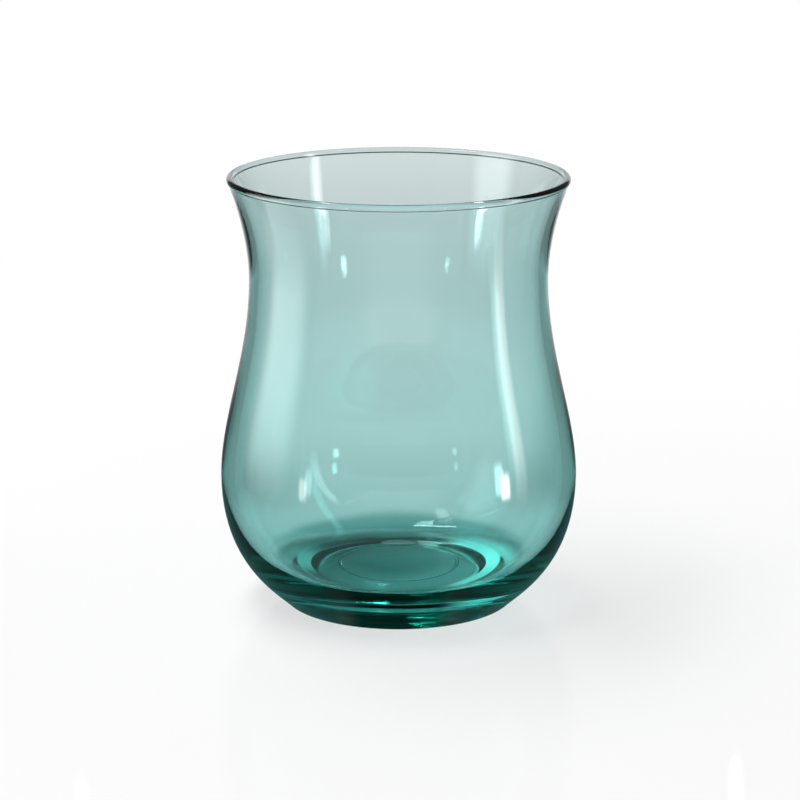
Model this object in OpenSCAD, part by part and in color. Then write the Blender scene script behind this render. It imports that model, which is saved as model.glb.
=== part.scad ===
// Tulip-shaped drinking tumbler in one piece of tinted glass: flared rim with a
// fire-polished bead, narrow waist, round belly, heavy base and a shallow punt.
// The bead and the base take the most skill: the bead melts into both faces of the
// wall, and the inner floor, the well round it and the punt are separate curves.
// Millimetres, Z up, standing on the table at Z = 0 with its axis on Z.

/* [Rim] */
// Height of the glass, from the table to the top of the rim
height = 95; // [88:1:110]
// Diameter of the rim, over its bead
rim_d = 74.3; // [70:0.1:80]
// Thickness of the wall just below the bead
rim_wall = 1.4; // [1:0.1:2]
// How far the melted bead stands proud of each face of the wall
bead_proud = 0.12; // [0.05:0.01:0.3]
// Radius of the hollow between the bead and the wall
bead_fillet_r = 0.8; // [0.4:0.1:2]
// Angle by which the wall leans outwards at the rim, in degrees
rim_flare = 22; // [10:1:30]

/* [Waist] */
// Outer diameter of the waist
waist_d = 65; // [58:0.5:68]
// Height of the waist above the table
waist_h = 72.7; // [62:0.1:80]
// Thickness of the wall at the waist
waist_wall = 2; // [1.5:0.1:3]

/* [Belly] */
// Outer diameter of the belly
belly_d = 78.2; // [74:0.1:84]
// Height of the widest part of the belly above the table
belly_h = 28.5; // [22:0.5:34]
// Thickness of the wall at the belly
belly_wall = 2.8; // [2:0.1:4]

/* [Base] */
// Diameter of the flat ring that the glass stands on
foot_d = 48; // [46:0.5:54]
// Radius of the edge round the foot
foot_edge_r = 2; // [1:0.1:4]
// Slope of the outside just above the foot, in degrees
foot_slope = 45; // [35:1:50]
// Height of the lowest part of the inner floor above the table
floor_h = 6.5; // [5.5:0.5:12]
// Diameter of the inner floor, out to its lowest part
floor_d = 39.6; // [30:0.2:44]
// How far the middle of the inner floor swells above its lowest part
floor_rise = 0.7; // [0.2:0.1:2]

/* [Underside] */
// Width of the ring that touches the table, round the hollow under the base
foot_ring_w = 3.3; // [2:0.1:6]
// Depth of that hollow at its middle
punt_depth = 2.5; // [1:0.1:3]
// How square the arch of the hollow is: a higher power is flatter in the middle
punt_power = 6; // [2:0.5:8]
// Diameter of the raised line that the mould's bottom valve leaves in the hollow
valve_d = 26.6; // [16:0.2:30]
// Width of that line
valve_line_w = 0.9; // [0.4:0.1:1.5]
// How far that line stands out of the hollow
valve_line_proud = 0.25; // [0.1:0.05:0.5]

/* [Fineness] */
// Flats round the glass
around = 180; // [48:12:360]
// Points on each long curve of the section
curve_steps = 12; // [8:1:32]
// Points on each small round of the section
round_steps = 6; // [4:1:16]

/* [Hidden] */
glass_colour = [0.45, 0.72, 0.70, 0.55];

// How far the curves' handles reach, as shares of the height of their stretch,
// first the handle at the lower end and then the one at the upper end
heel_shares = [0.16, 0.67];
body_shares = [0.29, 0.39];
flare_shares = [0.31, 0.31];
// The same for the round from the inner floor into the wall: the first is a share
// of its width, the second of its height
well_shares = [0.61, 0.52];
// The same for the swell of the inner floor, as shares of its half width
floor_shares = [0.52, 0.42];

// Half widths of the outside and of the cavity
rim_r = rim_d / 2;
waist_r = waist_d / 2;
belly_r = belly_d / 2;
foot_r = foot_d / 2;
floor_r = floor_d / 2;
punt_r = foot_r - foot_ring_w;
valve_r = valve_d / 2;

// The bead: its radius and centre, and the directions up the wall and out of it
half_wall = rim_wall / 2;
bead_r = half_wall + bead_proud;
bead_centre = [rim_r - bead_r, height - bead_r];
up_wall = [sin(rim_flare), cos(rim_flare)];
out_of_wall = [cos(rim_flare), -sin(rim_flare)];

// The hollow that blends the bead into each face of the wall
blend_drop = sqrt(pow(bead_r + bead_fillet_r, 2) - pow(half_wall + bead_fillet_r, 2));
blend_turn = asin(blend_drop / (bead_r + bead_fillet_r));

// A point part of the way from a to b
function between(a, b, t) = a + (b - a) * t;

// The point at t, from 0 to 1, on the curve that a list of end points and handles draws
function curve_point(p, t) =
    len(p) == 1 ? p[0] : curve_point([for (i = [1:len(p) - 1]) between(p[i - 1], p[i], t)], t);

// The points of such a curve, without its first
function curve(p, n) = [for (i = [1:n]) curve_point(p, i / n)];

// The points of an arc, ends included
function arc(centre, r, from, to, n) =
    [for (i = [0:n]) centre + r * [cos(between(from, to, i / n)), sin(between(from, to, i / n))]];

// A curve from low to high that leaves along lean and arrives along end_lean
function rise(low, high, lean, end_lean, shares, n) =
    let (h = high[1] - low[1])
    curve([low, low + shares[0] * h * lean, high - shares[1] * h * end_lean, high], n);

upright = [0, 1];

// Where the outer and inner faces of the wall end below the bead
outer_top = bead_centre + half_wall * out_of_wall - blend_drop * up_wall;
inner_top = bead_centre - half_wall * out_of_wall - blend_drop * up_wall;

// Widest and narrowest points of the outside and of the cavity
outer_belly = [belly_r, belly_h];
outer_waist = [waist_r, waist_h];
inner_belly = [belly_r - belly_wall, belly_h];
inner_waist = [waist_r - waist_wall, waist_h];

// Height of the hollow's arch at a distance r from the axis
function arch(r) = punt_depth * (1 - pow(r / punt_r, punt_power));

// Height of the hollow where the valve's line is, at t from -1 to 1 across the line
half_line = valve_line_w / 2;
function line_point(t) =
    let (r = valve_r + t * half_line) [r, arch(r) - valve_line_proud * (1 - t * t)];

// The points of the arch from one distance to another
function arch_points(from, to) =
    [for (i = [0:curve_steps]) let (r = between(from, to, i / curve_steps)) [r, arch(r)]];

// Underside, from the axis out to the foot
line_turns = [for (i = [1:round_steps - 1]) between(-1, 1, i / round_steps)];
underside = concat(
    arch_points(0, valve_r - half_line),
    [for (t = line_turns) line_point(t)],
    arch_points(valve_r + half_line, punt_r)
);

// Outside, from the edge of the foot up to the bead
foot_edge = arc([foot_r, foot_edge_r], foot_edge_r, -90, foot_slope - 90, round_steps);
foot_top = foot_edge[round_steps];
outside = concat(
    foot_edge,
    rise(foot_top, outer_belly, [cos(foot_slope), sin(foot_slope)], upright, heel_shares, curve_steps),
    rise(outer_belly, outer_waist, upright, upright, body_shares, curve_steps),
    rise(outer_waist, outer_top, upright, up_wall, flare_shares, curve_steps)
);

// Bead, from the outer face over the top to the inner face
blend_centre_r = half_wall + bead_fillet_r;
bead = concat(
    arc(outer_top + bead_fillet_r * out_of_wall, bead_fillet_r,
        180 - rim_flare, 180 - rim_flare - blend_turn, round_steps),
    arc(bead_centre, bead_r, -rim_flare - blend_turn, 90, curve_steps),
    arc(bead_centre, bead_r, 90, 180 - rim_flare + blend_turn, curve_steps),
    arc(inner_top - bead_fillet_r * out_of_wall, bead_fillet_r,
        blend_turn - rim_flare, -rim_flare, round_steps)
);

// Cavity, from the floor's middle out through the well and up to the bead
well_width = inner_belly[0] - floor_r;
well_height = belly_h - floor_h;
floor_top = floor_h + floor_rise;
cavity = concat(
    [[0, floor_top]],
    curve([
        [0, floor_top],
        [floor_shares[0] * floor_r, floor_top],
        [floor_r - floor_shares[1] * floor_r, floor_h],
        [floor_r, floor_h]
    ], curve_steps),
    curve([
        [floor_r, floor_h],
        [floor_r + well_shares[0] * well_width, floor_h],
        inner_belly - [0, well_shares[1] * well_height],
        inner_belly
    ], curve_steps),
    rise(inner_belly, inner_waist, upright, upright, body_shares, curve_steps),
    rise(inner_waist, inner_top, upright, up_wall, flare_shares, curve_steps)
);

// A list in the opposite order
function backwards(p) = [for (i = [len(p) - 1:-1:0]) p[i]];

// The whole glass is one revolved section
module tumbler() {
    color(glass_colour)
        rotate_extrude($fn = around)
            polygon(concat(underside, outside, bead, backwards(cavity)));
}

tumbler();
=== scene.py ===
import math

import bmesh
import bpy
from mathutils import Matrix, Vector
from mathutils.geometry import interpolate_bezier


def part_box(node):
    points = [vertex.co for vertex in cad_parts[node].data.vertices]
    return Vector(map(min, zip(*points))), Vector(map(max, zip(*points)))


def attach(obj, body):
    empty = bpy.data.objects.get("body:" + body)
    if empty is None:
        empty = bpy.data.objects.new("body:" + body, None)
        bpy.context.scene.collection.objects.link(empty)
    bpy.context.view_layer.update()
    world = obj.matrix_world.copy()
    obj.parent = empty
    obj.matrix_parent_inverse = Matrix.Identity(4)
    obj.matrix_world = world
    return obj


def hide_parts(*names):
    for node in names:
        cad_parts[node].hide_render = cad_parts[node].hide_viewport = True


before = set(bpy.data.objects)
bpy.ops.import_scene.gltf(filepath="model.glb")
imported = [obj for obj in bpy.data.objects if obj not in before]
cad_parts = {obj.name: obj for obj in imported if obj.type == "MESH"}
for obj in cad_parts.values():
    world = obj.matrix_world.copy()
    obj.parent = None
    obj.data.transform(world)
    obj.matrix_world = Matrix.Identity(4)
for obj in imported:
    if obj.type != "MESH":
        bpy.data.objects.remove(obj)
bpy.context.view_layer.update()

bl_info = {
    "name": "Tulip tumbler",
    "version": (1, 0, 0),
    "blender": (4, 2, 0),
    "location": "View3D > Sidebar > Tumbler",
    "description": "Makes a waisted drinking tumbler in tinted glass and the studio it is shown in",
    "category": "Object",
}

MM = 0.001
CAD_LOW, CAD_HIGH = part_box("tumbler")
UP = Vector((0, 0, 1))


# ---- Properties ----

def length(name, description, default):
    """A property for a length, with its default in metres."""
    return bpy.props.FloatProperty(
        name=name, description=description, default=default, min=0, precision=5,
        unit="LENGTH", subtype="DISTANCE")


def turn(name, description, degrees):
    """A property for an angle, with its default in degrees."""
    return bpy.props.FloatProperty(
        name=name, description=description, default=math.radians(degrees), subtype="ANGLE")


def amount(name, description, default, high=1.0):
    """A property for a plain number from zero up."""
    return bpy.props.FloatProperty(
        name=name, description=description, default=default, min=0, max=high, precision=4)


def linear(hex_colour):
    """An sRGB hex colour as linear red, green and blue."""
    values = [int(hex_colour[i:i + 2], 16) / 255 for i in (0, 2, 4)]
    return [v / 12.92 if v <= 0.04045 else ((v + 0.055) / 1.055) ** 2.4 for v in values]


def colour(name, description, hex_colour):
    """A property for a colour, with its default in sRGB hex."""
    return bpy.props.FloatVectorProperty(
        name=name, description=description, default=linear(hex_colour), subtype="COLOR", min=0, max=1)


class TumblerSize(bpy.types.PropertyGroup):
    """The glass's own sizes. They repeat the CAD part's, so the two shapes agree."""
    height: length("Height", "From the table to the top of the rim", CAD_HIGH.z)
    rim_d: length("Rim diameter", "Over the bead", 74.3 * MM)
    rim_wall: length("Rim wall", "Thickness of the wall just below the bead", 1.4 * MM)
    bead_proud: length("Bead", "How far the melted bead stands proud of each face of the wall", 0.12 * MM)
    bead_fillet_r: length("Bead fillet", "Radius of the hollow between the bead and the wall", 0.8 * MM)
    rim_flare: turn("Flare", "Lean of the wall at the rim", 22)
    waist_d: length("Waist diameter", "Outside", 65 * MM)
    waist_h: length("Waist height", "Above the table", 72.7 * MM)
    waist_wall: length("Waist wall", "Thickness of the wall at the waist", 2 * MM)
    belly_d: length("Belly diameter", "Outside", CAD_HIGH.x - CAD_LOW.x)
    belly_h: length("Belly height", "Of the widest part above the table", 28.5 * MM)
    belly_wall: length("Belly wall", "Thickness of the wall at the belly", 2.8 * MM)
    foot_d: length("Foot diameter", "Of the flat ring that the glass stands on", 48 * MM)
    foot_edge_r: length("Foot edge", "Radius of the edge round the foot", 2 * MM)
    foot_slope: turn("Foot slope", "Of the outside just above the foot", 45)
    floor_h: length("Inner floor", "Height of its lowest part above the table", 6.5 * MM)
    floor_d: length("Inner floor diameter", "Out to its lowest part", 39.6 * MM)
    floor_rise: length("Inner floor swell", "How far its middle swells above its lowest part", 0.7 * MM)
    foot_ring_w: length("Foot ring", "Width of the ring that touches the table", 3.3 * MM)
    punt_depth: length("Hollow", "Depth of the hollow under the base", 2.5 * MM)
    punt_power: amount("Hollow squareness", "Power of the arch over the hollow", 6, 12)
    valve_d: length("Valve line diameter", "Of the raised line that the mould's bottom valve leaves", 26.6 * MM)
    valve_line_w: length("Valve line width", "Width of that line", 0.9 * MM)
    valve_line_proud: length("Valve line", "How far that line stands out of the hollow", 0.25 * MM)


class TumblerFinish(bpy.types.PropertyGroup):
    """What the glass is like as a material."""
    tint: colour("Tint", "Colour of white light after the tint depth of glass", "8FE0DB")
    tint_depth: length("Tint depth", "Thickness of glass that gives the tint", 10 * MM)
    ior: amount("Refractive index", "Soda-lime glass is about 1.52", 1.52, 3)
    ripple_w: length("Ripple spacing", "Distance between the slow waves in a mould-blown wall", 14 * MM)
    ripple_h: length("Ripple height", "Height of those waves", 0.04 * MM)
    film_w: length("Film patches", "Width of the patches of the film that handling leaves", 9 * MM)
    film_dull: amount("Film roughness", "Roughness where that film is thickest", 0.02)


class StudioSettings(bpy.types.PropertyGroup):
    """Floor and camera."""
    floor_colour: colour("Floor", "Colour of the table top", "F2F2F2")
    floor_grain: length("Floor grain", "Width of the grain in the satin table top", 2 * MM)
    floor_size: length("Floor size", "Radius of the table top", 4.0)
    camera_height: length("Camera height", "Above the table", 0.21034)
    camera_distance: length("Camera distance", "From the glass's axis, along the table", 0.665)
    camera_pitch: turn("Camera pitch", "How far the camera looks down", 13.973)
    camera_focal: length("Focal length", "Of the lens, for a picture 36 mm wide", 140.47 * MM)
    camera_aside: length("Camera offset", "Sideways offset of the camera", 0.00031)


# ---- Nodes and objects ----

def new_material(name):
    """An empty node material."""
    made = bpy.data.materials.new(name)
    made.use_nodes = True
    made.node_tree.nodes.clear()
    return made


def add_node(tree, kind, inputs=None, **settings):
    """Adds a node to tree. Each input takes a plain value or the output of another node."""
    made = tree.nodes.new(kind)
    for key, value in settings.items():
        setattr(made, key, value)
    for key, source in (inputs or {}).items():
        if isinstance(source, bpy.types.NodeSocket):
            tree.links.new(source, made.inputs[key])
        else:
            made.inputs[key].default_value = source
    return made


def calculate(tree, operation, *values):
    """What a Math node makes of one or more numbers or outputs."""
    return add_node(tree, "ShaderNodeMath", dict(enumerate(values)), operation=operation).outputs[0]


def choose(tree, share, first, second):
    """The first level where share is 0, the second where it is 1, and a blend between."""
    return add_node(tree, "ShaderNodeMix", {0: share, 2: first, 3: second}, data_type="FLOAT").outputs[0]


def choose_colour(tree, share, first, second):
    """The first colour where share is 0, the second where it is 1, and a blend between."""
    return add_node(tree, "ShaderNodeMix", {0: share, 6: first, 7: second}, data_type="RGBA").outputs[2]


def any_bounce(tree, count):
    """1 for rays with a bounce of the kind counted, else 0."""
    return calculate(tree, "GREATER_THAN", count, 0.5)


def ramp(tree, value, stops, low=0.0, top=1.0):
    """A level that follows stops, pairs of a value from low to top and the level there."""
    span = add_node(tree, "ShaderNodeMapRange", {"Value": value, "From Min": low, "From Max": top})
    made = add_node(tree, "ShaderNodeValToRGB", {0: span.outputs[0]})
    made.color_ramp.interpolation = "EASE"
    marks = made.color_ramp.elements
    while len(marks) < len(stops):
        marks.new(1.0)
    for mark, (at, level) in zip(marks, stops):
        mark.position = (at - low) / (top - low)
        mark.color = (level, level, level, 1)
    return made.outputs[0]


def vector_parts(tree, vector):
    """The X, Y and Z outputs of a vector."""
    return add_node(tree, "ShaderNodeSeparateXYZ", {0: vector}).outputs


def vector_length(tree, vector):
    """How long a vector is."""
    return add_node(tree, "ShaderNodeVectorMath", {0: vector}, operation="LENGTH").outputs["Value"]


def to_object(name, shape):
    """An object in the scene made of a bmesh, which is freed."""
    mesh = bpy.data.meshes.new(name)
    shape.to_mesh(mesh)
    shape.free()
    made = bpy.data.objects.new(name, mesh)
    bpy.context.scene.collection.objects.link(made)
    return made


def put_facing(made, place, aim):
    """Puts a card or a lamp at place, with its front towards aim."""
    made.location = place
    made.rotation_euler = (Vector(aim) - Vector(place)).to_track_quat("-Z", "Y").to_euler()


# ---- Glass ----

# Steps along each long curve, each small round and the valve's line, and steps round the glass
CURVE_STEPS = 24
ROUND_STEPS = 10
LINE_STEPS = 8
AROUND = 256
# Faces that meet at a sharper angle than this, in degrees, keep their edge
SHARP = 32
# Points of the spun glass nearer than this are one
SAME_POINT = 0.0001 * MM

# How far the curves' handles reach, as shares of the height of their stretch, lower end first
HEEL_SHARES = (0.16, 0.67)
BODY_SHARES = (0.29, 0.39)
FLARE_SHARES = (0.31, 0.31)
# The same for the round from the inner floor into the wall, as shares of its width and its height
WELL_SHARES = (0.61, 0.52)
# The same for the swell of the inner floor, as shares of its half width
FLOOR_SHARES = (0.52, 0.42)


def bezier(a, b, c, d):
    """Points after the first on a curve from a to d with handles b and c."""
    return interpolate_bezier(a, b, c, d, CURVE_STEPS + 1)[1:]


def rise(low, high, lean, end_lean, shares):
    """A curve from low to high that leaves along lean and arrives along end_lean."""
    tall = high.z - low.z
    return bezier(low, low + lean * shares[0] * tall, high - end_lean * shares[1] * tall, high)


def point(across, up):
    """A point of the section, in the XZ plane."""
    return Vector((across, 0, up))


def arc(centre, radius, start, end, steps):
    """Points of an arc, ends included; the angles count from +X towards +Z."""
    return [centre + radius * point(math.cos(a), math.sin(a))
            for a in (start + (end - start) * i / steps for i in range(steps + 1))]


def underside(size):
    """From the axis over the hollow, with the valve's line in it, to the ring that the glass stands on."""
    inner_r = size.foot_d / 2 - size.foot_ring_w
    half_line = size.valve_line_w / 2
    valve_r = size.valve_d / 2

    def arch(r):
        away = (r - valve_r) / half_line
        line = size.valve_line_proud * (1 - away * away) if abs(away) < 1 else 0
        return point(r, size.punt_depth * (1 - (r / inner_r) ** size.punt_power) - line)

    spans = (
        (0, valve_r - half_line, CURVE_STEPS),
        (valve_r - half_line, valve_r + half_line, LINE_STEPS),
        (valve_r + half_line, inner_r, CURVE_STEPS),
    )
    points = [arch(0)]
    for start, end, count in spans:
        points += [arch(start + (end - start) * i / count) for i in range(1, count + 1)]
    return points


def section(size):
    """The whole closed section of the glass, from the axis under the base to the axis over the floor."""
    half_wall = size.rim_wall / 2
    bead_r = half_wall + size.bead_proud
    bead_centre = point(size.rim_d / 2 - bead_r, size.height - bead_r)
    flare = size.rim_flare
    up_wall = point(math.sin(flare), math.cos(flare))
    out_of_wall = point(math.cos(flare), -math.sin(flare))
    fillet = size.bead_fillet_r
    drop = math.sqrt((bead_r + fillet) ** 2 - (half_wall + fillet) ** 2)
    bend = math.asin(drop / (bead_r + fillet))
    outer_top = bead_centre + half_wall * out_of_wall - drop * up_wall
    inner_top = bead_centre - half_wall * out_of_wall - drop * up_wall

    outer_belly = point(size.belly_d / 2, size.belly_h)
    outer_waist = point(size.waist_d / 2, size.waist_h)
    inner_belly = outer_belly - point(size.belly_wall, 0)
    inner_waist = outer_waist - point(size.waist_wall, 0)

    slope = size.foot_slope
    foot_edge_centre = point(size.foot_d / 2, size.foot_edge_r)
    up_foot = point(math.cos(slope), math.sin(slope))
    points = underside(size)
    points += arc(foot_edge_centre, size.foot_edge_r, -math.pi / 2, slope - math.pi / 2, ROUND_STEPS)
    points += rise(points[-1], outer_belly, up_foot, UP, HEEL_SHARES)
    points += rise(outer_belly, outer_waist, UP, UP, BODY_SHARES)
    points += rise(outer_waist, outer_top, UP, up_wall, FLARE_SHARES)

    outer_blend, inner_blend = outer_top + fillet * out_of_wall, inner_top - fillet * out_of_wall
    outward, inward = math.pi - flare, -flare
    points += arc(outer_blend, fillet, outward, outward - bend, ROUND_STEPS)[1:]
    points += arc(bead_centre, bead_r, inward - bend, math.pi / 2, CURVE_STEPS)[1:]
    points += arc(bead_centre, bead_r, math.pi / 2, outward + bend, CURVE_STEPS)[1:]
    points += arc(inner_blend, fillet, inward + bend, inward, ROUND_STEPS)[1:]

    floor_r = size.floor_d / 2
    middle = point(0, size.floor_h + size.floor_rise)
    well = point(floor_r, size.floor_h)
    well_across = point(inner_belly.x - well.x, 0)
    well_up = point(0, inner_belly.z - well.z)
    cavity = [middle]
    cavity += bezier(
        middle, middle + point(FLOOR_SHARES[0] * floor_r, 0),
        well - point(FLOOR_SHARES[1] * floor_r, 0), well)
    cavity += bezier(
        well, well + WELL_SHARES[0] * well_across, inner_belly - WELL_SHARES[1] * well_up, inner_belly)
    cavity += rise(inner_belly, inner_waist, UP, UP, BODY_SHARES)
    cavity += rise(inner_waist, inner_top, UP, up_wall, FLARE_SHARES)
    return points + cavity[-2::-1]


def spun_glass(name, points):
    """A closed glass, spun once round Z from its section."""
    shape = bmesh.new()
    corners = [shape.verts.new(p) for p in points]
    edges = [shape.edges.new(pair) for pair in zip(corners, corners[1:])]
    bmesh.ops.spin(
        shape, geom=corners + edges, cent=(0, 0, 0), axis=UP, angle=math.tau, steps=AROUND, use_merge=True)
    bmesh.ops.remove_doubles(shape, verts=shape.verts, dist=SAME_POINT)
    bmesh.ops.recalc_face_normals(shape, faces=shape.faces)
    for face in shape.faces:
        face.smooth = True
    made = to_object(name, shape)
    made.data.set_sharp_from_angle(angle=math.radians(SHARP))
    return made


def glass_material(finish):
    """Soda-lime glass, tinted through with copper and chrome oxides, blown in a mould and fire-polished.

    The eye sees no surface colour: the tint grows with the way that light goes inside the glass,
    so the wall is pale and the base and edges are deep. Fire polish leaves it mirror smooth, but
    the mould leaves slow waves in the wall, which make its highlights waver.
    """
    made = new_material("tinted_soda_lime_glass")
    tree = made.node_tree
    place = add_node(tree, "ShaderNodeTexCoord").outputs["Object"]
    # Slow waves in the wall
    waves = add_node(tree, "ShaderNodeTexNoise", {
        "Vector": place, "Scale": 1 / finish.ripple_w, "Detail": 1.0, "Roughness": 0.4})
    ripple = add_node(tree, "ShaderNodeBump", {
        "Height": waves.outputs[0], "Strength": 1.0, "Distance": finish.ripple_h})
    # A film of handling, in patches, that hardly dulls the shine
    film = add_node(tree, "ShaderNodeTexNoise", {"Vector": place, "Scale": 1 / finish.film_w, "Detail": 3.0})
    dull = add_node(tree, "ShaderNodeMapRange", {
        "Value": film.outputs[0], "From Min": 0.5, "From Max": 0.9, "To Min": 0.0, "To Max": finish.film_dull})
    surface = add_node(tree, "ShaderNodeBsdfPrincipled", {
        "Base Color": (1, 1, 1, 1), "IOR": finish.ior, "Transmission Weight": 1.0,
        "Roughness": dull.outputs[0], "Normal": ripple.outputs[0]})
    # Absorption per metre, from the colour that the tint depth lets through. A tint of plain white
    # or black is kept just inside what a logarithm and a division can take
    least = 0.001
    loss = [-math.log(max(part, least)) / finish.tint_depth for part in finish.tint]
    density = max(*loss, least)
    inside = add_node(tree, "ShaderNodeVolumeAbsorption", {
        "Color": (*(1 - part / density for part in loss), 1), "Density": density})
    add_node(tree, "ShaderNodeOutputMaterial", {"Surface": surface.outputs[0], "Volume": inside.outputs[0]})
    return made


class TUMBLER_OT_glass(bpy.types.Operator):
    """Makes the glass in place of its CAD solid"""
    bl_idname = "tumbler.glass"
    bl_label = "Blow the glass"

    def execute(self, context):
        size, finish = context.scene.tumbler_size, context.scene.tumbler_finish
        if size.punt_depth >= size.floor_h:
            raise ValueError("the hollow under the base reaches the inner floor")
        made = spun_glass("glass_tumbler", section(size))
        made.data.materials.append(glass_material(finish))
        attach(made, "root")
        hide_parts("tumbler")
        return {"FINISHED"}


# ---- Table top ----

# What the table top shows, as pairs of a distance from the glass's axis in metres and a level there.
# To the camera it is white and runs out into the white round it. The share is that of the plain
# white in what shows; the rest is the lit top, which holds the glass's shadow
WHITE_LEVELS = ((0.05, 0.93), (0.25, 1.0))
WHITE_SHARES = ((0.04, 0.72), (0.2, 0.85), (0.4, 1.0))
# Through the glass it shows a painted grey, paler or darker with distance, and beyond the foot a painted
# shade darkens it to the sides, in place of black cards, which draws the glass's dark edges
THROUGH_LEVELS = ((0.05, 0.72), (0.16, 0.78), (0.34, 0.7), (0.6, 0.8))
THROUGH_SHARES = ((0.03, 0.0), (0.036, 1.0))
SHADED_SHARES = ((0.05, 0.0), (0.1, 1.0))
# In reflections it shows a painted reflection: dark near the glass, in place of a black card, and half light on
# its sides
PAINTED_REFLECTION_LEVELS = ((0.12, 0.008), (0.4, 0.8))
PAINTED_REFLECTION_BESIDE_LEVELS = ((0.1, 0.34), (0.3, 0.2))
# Where a place on the top counts as beside the glass, by the size of X of the direction to it from
# the axis: first in reflections, and then for the painted side shade in place of black cards, with the level
# that it leaves there
BESIDE_SHARES = ((0.3, 0.0), (0.6, 1.0))
PAINTED_SIDE_SHADE_FROM, PAINTED_SIDE_SHADE_TO = 0.25, 0.6
PAINTED_SIDE_SHADE_LEVEL = 0.55

# A painted teal shadow on the top close round the foot, seen through the glass alone, in place of the
# light that a thicker base would let through, in a zone that is narrower along X by this factor.
# The same teal is painted into reflections of the top beside the glass
PAINTED_TEAL = "6CAEAB"
PAINTED_TEAL_ZONE = (1.6, 1, 1)
PAINTED_TEAL_SHARES = ((0.03, 1.0), (0.047, 0.7), (0.058, 0.0))
# A painted ring of light on the top, seen through the glass, in place of the caustic that the foot would
# gather from the lamps, brightest away from the key. Its levels follow the distance from the axis, and then the
# Y and the X of the direction from it
PAINTED_RING_COLOUR = (0.5, 1, 0.93, 1)
PAINTED_RING_LEVELS = ((0.019, 0.0), (0.0212, 1.0), (0.0235, 1.0), (0.0265, 0.45), (0.032, 0.0))
PAINTED_RING_LEVELS_BY_Y = ((-0.55, 0.0), (-0.1, 0.55), (0.15, 0.55), (0.7, 0.05))
PAINTED_RING_LEVELS_BY_X = ((0.4, 0.0), (0.75, 1.2))
# Distance within which the painted teal shadow zone and the painted ring of light lie
NEAR_FOOT = 0.1

FLOOR_SEGMENTS = 96
LAMINATE_IOR = 1.45
LAMINATE_ROUGHNESS = (0.1, 0.14)


def laminate(tree, studio, place):
    """The lit top itself: matt white, pressed satin, with a faint soft mirror image."""
    grain = add_node(tree, "ShaderNodeTexNoise", {
        "Vector": place, "Scale": 1 / studio.floor_grain, "Detail": 2.0})
    sheen = add_node(tree, "ShaderNodeMapRange", {
        "Value": grain.outputs[0], "To Min": LAMINATE_ROUGHNESS[0], "To Max": LAMINATE_ROUGHNESS[1]})
    return add_node(tree, "ShaderNodeBsdfPrincipled", {
        "Base Color": (*studio.floor_colour, 1), "IOR": LAMINATE_IOR, "Roughness": sheen.outputs[0]}).outputs[0]


def painted_foot_ring(tree, away, side, seen_through):
    """A painted bright ring of light on the top, in place of the foot's caustic, seen through the glass alone.
    """
    by_y = ramp(tree, side["Y"], PAINTED_RING_LEVELS_BY_Y, low=-1.0)
    by_x = ramp(tree, side["X"], PAINTED_RING_LEVELS_BY_X, low=-1.0)
    across = ramp(tree, away, PAINTED_RING_LEVELS, top=NEAR_FOOT)
    ring = calculate(tree, "MULTIPLY", across, calculate(tree, "ADD", by_y, by_x))
    return add_node(tree, "ShaderNodeEmission", {
        "Color": PAINTED_RING_COLOUR, "Strength": calculate(tree, "MULTIPLY", ring, seen_through)}).outputs[0]


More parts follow.
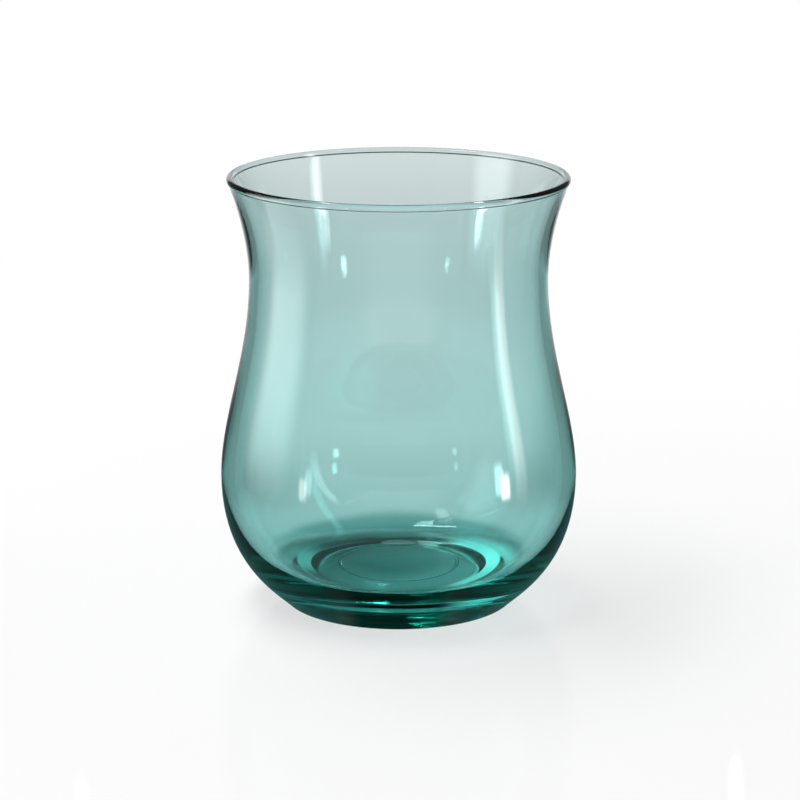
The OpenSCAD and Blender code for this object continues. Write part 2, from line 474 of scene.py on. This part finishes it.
def floor_material(studio):
    """White laminate table top under a sweep of white and black cards, as clear glass is photographed.

    The cards are not there as objects: the top shows a level of its own to the camera, and painted levels
    through the glass and in reflections, which are the painted light and painted shade of the cards.
    Through the glass it also shows a painted teal shadow round the foot and a painted ring of light under
    it, and in reflections beside the glass a painted teal. Rays that gather light find the lit top alone.
    """
    made = new_material("white_satin_laminate")
    tree = made.node_tree
    place = add_node(tree, "ShaderNodeTexCoord").outputs["Object"]
    ray = add_node(tree, "ShaderNodeLightPath").outputs
    away = vector_length(tree, place)
    direction = add_node(tree, "ShaderNodeVectorMath", {0: place}, operation="NORMALIZE")
    side = vector_parts(tree, direction.outputs["Vector"])
    aside = calculate(tree, "ABSOLUTE", side["X"])
    beside = ramp(tree, aside, BESIDE_SHARES)
    looked_at = calculate(tree, "SUBTRACT", 1.0, any_bounce(tree, ray["Diffuse Depth"]))
    seen_through = calculate(tree, "MULTIPLY", ray["Is Transmission Ray"], looked_at)

    # Painted shade to the sides of the top seen through the glass, in place of black cards
    painted_side_shade = add_node(tree, "ShaderNodeMapRange", {
        "Value": aside, "From Min": PAINTED_SIDE_SHADE_FROM, "From Max": PAINTED_SIDE_SHADE_TO, "To Min": 1.0, "To Max": PAINTED_SIDE_SHADE_LEVEL},
        interpolation_type="SMOOTHSTEP")
    shade = choose(tree, ramp(tree, away, SHADED_SHARES), 1.0, painted_side_shade.outputs[0])
    through = calculate(tree, "MULTIPLY", shade, ramp(tree, away, THROUGH_LEVELS))
    # Painted reflection levels of the top: dark near the glass, half light beside it
    mirrored = choose(tree, beside, ramp(tree, away, PAINTED_REFLECTION_LEVELS), ramp(tree, away, PAINTED_REFLECTION_BESIDE_LEVELS))
    level = choose(tree, ray["Is Reflection Ray"], through, mirrored)
    level = choose(tree, ray["Is Camera Ray"], level, ramp(tree, away, WHITE_LEVELS))
    share = choose(tree, ray["Is Reflection Ray"], ramp(tree, away, THROUGH_SHARES), 1.0)
    share = choose(tree, ray["Is Camera Ray"], share, ramp(tree, away, WHITE_SHARES))

    # Painted teal shadow round the foot, seen through the glass, and painted teal in reflections beside it
    zone = add_node(tree, "ShaderNodeVectorMath", {0: place, 1: PAINTED_TEAL_ZONE}, operation="MULTIPLY")
    near = ramp(tree, vector_length(tree, zone.outputs["Vector"]), PAINTED_TEAL_SHARES, top=NEAR_FOOT)
    painted_teal_share = choose(
        tree, ray["Is Reflection Ray"], calculate(tree, "MULTIPLY", near, ray["Is Transmission Ray"]), beside)
    shown_colour = choose_colour(
        tree, calculate(tree, "MULTIPLY", painted_teal_share, looked_at), (1, 1, 1, 1), (*linear(PAINTED_TEAL), 1))

    shown = add_node(tree, "ShaderNodeEmission", {"Color": shown_colour, "Strength": level})
    shown_share = calculate(tree, "MULTIPLY", share, looked_at)
    table = add_node(tree, "ShaderNodeMixShader", {
        0: shown_share, 1: laminate(tree, studio, place), 2: shown.outputs[0]})
    # Adds the painted ring of light under the foot
    total = add_node(tree, "ShaderNodeAddShader", {
        0: table.outputs[0], 1: painted_foot_ring(tree, away, side, seen_through)})
    add_node(tree, "ShaderNodeOutputMaterial", {"Surface": total.outputs[0]})
    return made


def add_floor(studio):
    """The table top that the glass stands on."""
    shape = bmesh.new()
    bmesh.ops.create_circle(shape, cap_ends=True, radius=studio.floor_size, segments=FLOOR_SEGMENTS)
    made = to_object("floor", shape)
    made.data.materials.append(floor_material(studio))


# ---- Lamps, surroundings and camera ----

# Each lamp's name, place, width, height and power in watts. They face the glass's foot
SOFTBOXES = (
    ("softbox_above", (-0.24, 0.06, 0.8), 0.8, 0.2, 8.5),
    ("key", (-0.55, 0.05, 0.5), 0.2, 0.2, 0.5),
)

# Each glowing card's name, place, the point that it faces, width, height and strength
CARDS = (
    # The broad soft band down the left of the body, and the narrow one down its right
    ("card_left", (-0.125, -0.01, 0.11), (0, -0.01, 0.11), 0.12, 0.26, 2.4),
    ("card_right", (0.13, -0.038, 0.11), (0, -0.038, 0.11), 0.03, 0.25, 5.5),
    # The spots low on the belly
    ("spot_left", (-0.066, -0.056, 0.029), (-0.0198, -0.0325, 0.033), 0.01, 0.018, 7.0),
    ("spot_right", (0.071, -0.0475, 0.029), (0.0219, -0.031, 0.033), 0.012, 0.02, 18.0),
    # The streak on the back of the base
    ("streak_above", (-0.14, 0.03, 0.4), (0, 0, 0.02), 0.34, 0.07, 4.5),
)
# The part of a card's half width inside which it glows in full
CARD_CORE = 0.25

# Even light that the table top gathers from all round
AMBIENT = 0.25
# Level of the dark room round the table, as the glass shows it
ROOM = 0.09
# Levels of its walls before and behind the glass, and to the sides, by the Z of the direction
BACK_LEVELS = ((0.05, 0.12), (0.2, ROOM))
FLANK_LEVELS = ((0.05, 0.1), (0.15, 0.3), (0.45, 0.3), (0.6, ROOM))
# The share of the side walls by the size of X, and of the white backdrop in reflections by Y
FLANK_SHARES = ((0.35, 0.0), (0.6, 1.0))
BACKDROP_SHARES = ((0.9, 0.0), (0.96, 1.0))

# Width of the picture in the camera, in the millimetres that Blender counts there, and how near the
# camera sees
PICTURE_WIDTH = 36
NEAREST = 10 * MM

# Bounces that light needs to pass the many faces of glass above the floor seen through the base
GLASS_BOUNCES = 24
MIRROR_BOUNCES = 12


def card_material(name, wide, tall, strength):
    """A diffuser with soft edges, lit for reflections alone: looked at straight through the glass it is dark."""
    made = new_material(name)
    tree = made.node_tree
    place = vector_parts(tree, add_node(tree, "ShaderNodeTexCoord").outputs["Object"])
    across, along = (
        add_node(tree, "ShaderNodeMapRange", {
            "Value": calculate(tree, "ABSOLUTE", place[axis]),
            "From Min": half, "From Max": CARD_CORE * half, "To Max": math.sqrt(strength)},
            interpolation_type="SMOOTHERSTEP").outputs[0]
        for axis, half in (("X", wide / 2), ("Y", tall / 2)))
    bounces = add_node(tree, "ShaderNodeLightPath").outputs["Glossy Depth"]
    level = calculate(tree, "MULTIPLY", calculate(tree, "MULTIPLY", across, along), any_bounce(tree, bounces))
    light = add_node(tree, "ShaderNodeEmission", {"Color": (1, 1, 1, 1), "Strength": level})
    add_node(tree, "ShaderNodeOutputMaterial", {"Surface": light.outputs[0]})
    return made


def add_card(name, place, aim, wide, tall, strength):
    """A glowing card at place that faces aim, for a highlight."""
    shape = bmesh.new()
    bmesh.ops.create_grid(shape, size=0.5)
    bmesh.ops.scale(shape, vec=(wide, tall, 1), verts=shape.verts)
    made = to_object(name, shape)
    made.data.materials.append(card_material(name + "_diffuser", wide, tall, strength))
    put_facing(made, place, aim)
    made.visible_camera = False
    made.visible_shadow = False


def add_softbox(name, place, wide, tall, power):
    """A soft rectangular lamp at place. The cards make the highlights in its stead."""
    lamp = bpy.data.lights.new(name, "AREA")
    lamp.shape = "RECTANGLE"
    lamp.size, lamp.size_y = wide, tall
    lamp.energy = power
    made = bpy.data.objects.new(name, lamp)
    put_facing(made, place, (0, 0, 0))
    made.visible_camera = False
    made.visible_glossy = False
    bpy.context.scene.collection.objects.link(made)


def add_world():
    """A dark room with pale side walls round the table; the camera sees it plain white."""
    made = bpy.data.worlds.new("studio_walls")
    made.use_nodes = True
    tree = made.node_tree
    tree.nodes.clear()
    way = vector_parts(tree, add_node(tree, "ShaderNodeTexCoord").outputs["Generated"])
    ray = add_node(tree, "ShaderNodeLightPath").outputs
    back = ramp(tree, way["Z"], BACK_LEVELS)
    flank_share = ramp(tree, calculate(tree, "ABSOLUTE", way["X"]), FLANK_SHARES)
    through = choose(tree, flank_share, back, ramp(tree, way["Z"], FLANK_LEVELS))
    # In reflections a white backdrop stands behind the glass
    mirrored = choose(tree, ramp(tree, way["Y"], BACKDROP_SHARES), back, 1.0)
    walls = choose(tree, ray["Is Reflection Ray"], through, mirrored)
    level = choose(tree, any_bounce(tree, ray["Diffuse Depth"]), walls, AMBIENT)
    level = choose(tree, ray["Is Camera Ray"], level, 1.0)
    light = add_node(tree, "ShaderNodeBackground", {"Color": (1, 1, 1, 1), "Strength": level})
    add_node(tree, "ShaderNodeOutputWorld", {"Surface": light.outputs[0]})
    bpy.context.scene.world = made


def add_camera(studio):
    """The camera, as far away, as high and as steep as the photograph's."""
    camera = bpy.data.cameras.new("camera")
    camera.sensor_width = PICTURE_WIDTH
    camera.lens = studio.camera_focal / MM
    camera.clip_start = NEAREST
    made = bpy.data.objects.new("camera", camera)
    made.location = (studio.camera_aside, -studio.camera_distance, studio.camera_height)
    made.rotation_euler = (math.pi / 2 - studio.camera_pitch, 0, 0)
    bpy.context.scene.collection.objects.link(made)
    bpy.context.scene.camera = made


class TUMBLER_OT_stage(bpy.types.Operator):
    """Sets up the table top, the lamps, the surroundings and the camera"""
    bl_idname = "tumbler.stage"
    bl_label = "Set up the studio"

    def execute(self, context):
        scene = context.scene
        studio = scene.tumbler_studio
        add_floor(studio)
        add_world()
        for softbox in SOFTBOXES:
            add_softbox(*softbox)
        for card in CARDS:
            add_card(*card)
        add_camera(studio)
        scene.view_settings.view_transform = "Standard"
        scene.cycles.max_bounces = GLASS_BOUNCES
        scene.cycles.transmission_bounces = GLASS_BOUNCES
        scene.cycles.glossy_bounces = MIRROR_BOUNCES
        return {"FINISHED"}


# ---- Panel and registration ----

class TUMBLER_PT_panel(bpy.types.Panel):
    """Lists the tumbler's settings and the buttons that make it"""
    bl_idname = "TUMBLER_PT_panel"
    bl_label = "Tulip tumbler"
    bl_space_type = "VIEW_3D"
    bl_region_type = "UI"
    bl_category = "Tumbler"

    def draw(self, context):
        scene = context.scene
        for settings in (scene.tumbler_size, scene.tumbler_finish, scene.tumbler_studio):
            box = self.layout.box()
            for name in settings.__annotations__:
                box.prop(settings, name)
        self.layout.operator(TUMBLER_OT_glass.bl_idname)
        self.layout.operator(TUMBLER_OT_stage.bl_idname)


CLASSES = (TumblerSize, TumblerFinish, StudioSettings, TUMBLER_OT_glass, TUMBLER_OT_stage, TUMBLER_PT_panel)


def register():
    """Registers the classes and gives the scene its settings."""
    for cls in CLASSES:
        bpy.utils.register_class(cls)
    bpy.types.Scene.tumbler_size = bpy.props.PointerProperty(type=TumblerSize)
    bpy.types.Scene.tumbler_finish = bpy.props.PointerProperty(type=TumblerFinish)
    bpy.types.Scene.tumbler_studio = bpy.props.PointerProperty(type=StudioSettings)


def unregister():
    """Takes the settings and the classes away again."""
    del bpy.types.Scene.tumbler_studio
    del bpy.types.Scene.tumbler_finish
    del bpy.types.Scene.tumbler_size
    for cls in reversed(CLASSES):
        bpy.utils.unregister_class(cls)


def main():
    """Makes the glass and the studio."""
    register()
    bpy.ops.tumbler.glass()
    bpy.ops.tumbler.stage()


if __name__ == "__main__":
    main()
